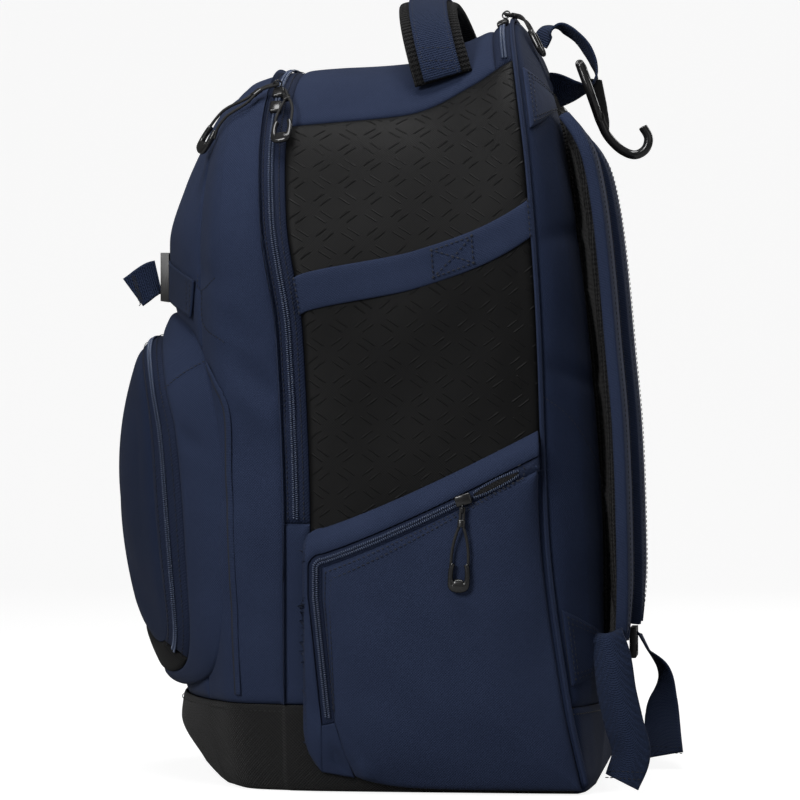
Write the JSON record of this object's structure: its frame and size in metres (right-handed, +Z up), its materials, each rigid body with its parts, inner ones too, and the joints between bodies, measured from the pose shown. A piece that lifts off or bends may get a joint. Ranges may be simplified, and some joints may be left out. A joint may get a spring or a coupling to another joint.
{
  "type": "baseball bat backpack",
  "caption": "Tall sewn backpack with a stiff base, zipped front and side pockets, side bat straps, padded shoulder straps, haul handle and a fence hook.",
  "frame": {"origin": "on the floor under the middle of the pack's base", "axes": "+Z up the pack, +X to the side that the picture shows, -Y to the front pocket, +Y to the shoulder straps"},
  "size_m": [0.3704, 0.395, 0.5406],
  "materials": {
    "fabric_navy": "woven polyester, navy, soft sheen",
    "fabric_dark": "woven polyester, dark navy, matt",
    "zip_tape": "woven zip tape with a nylon coil",
    "webbing_navy": "woven nylon webbing, ribbed",
    "panel_black": "laminated foam fabric with embossed bars, satin",
    "base_black": "coated grained sheet, satin",
    "mesh_black": "open spacer mesh over foam",
    "plastic_black": "moulded acetal, satin"
  },
  "bodies": {
    "root": {"front_gusset": "fabric_navy", "zip_foot_right": "fabric_navy", "zip_foot_left": "fabric_navy", "top_panel": "fabric_navy", "front_panel": "fabric_navy", "front_pocket_gusset": "fabric_navy", "front_pocket_lid": "fabric_navy", "side_pocket_gusset_right": "fabric_navy", "side_pocket_face_right": "fabric_navy", "side_pocket_gusset_left": "fabric_navy", "side_pocket_face_left": "fabric_navy", "back_piping": "fabric_navy", "yoke_right": "fabric_navy", "yoke_left": "fabric_navy", "back_gusset": "fabric_dark", "anchor_tab_right": "fabric_dark", "anchor_tab_left": "fabric_dark", "shoulder_strap_right": "fabric_dark", "shoulder_strap_left": "fabric_dark", "front_zip": "zip_tape", "top_zip": "zip_tape", "front_pocket_zip": "zip_tape", "side_pocket_zip_right": "zip_tape", "side_pocket_zip_left": "zip_tape", "side_strap_right": "webbing_navy", "side_strap_left": "webbing_navy", "handle_webbing": "webbing_navy", "strap_tail_right": "webbing_navy", "strap_tail_left": "webbing_navy", "front_strap": "webbing_navy", "front_strap_end": "webbing_navy", "hook_loop": "webbing_navy", "side_panel_right": "panel_black", "side_panel_left": "panel_black", "front_pocket_trim": "panel_black", "boot": "base_black", "back_panel": "mesh_black", "handle_band": "mesh_black", "ladder_lock_right": "plastic_black", "ladder_lock_left": "plastic_black", "front_buckle": "plastic_black", "fence_hook": "plastic_black", "front_slider_1": "plastic_black", "front_slider_2": "plastic_black", "front_pull_1": "plastic_black", "front_pull_2": "plastic_black", "top_slider_1": "plastic_black", "top_slider_2": "plastic_black", "top_pull": "plastic_black", "side_slider_right": "plastic_black", "side_pull_right": "plastic_black", "side_slider_left": "plastic_black", "side_pull_left": "plastic_black", "pocket_slider": "plastic_black", "pocket_pull": "plastic_black"}
  },
  "joints": []
}
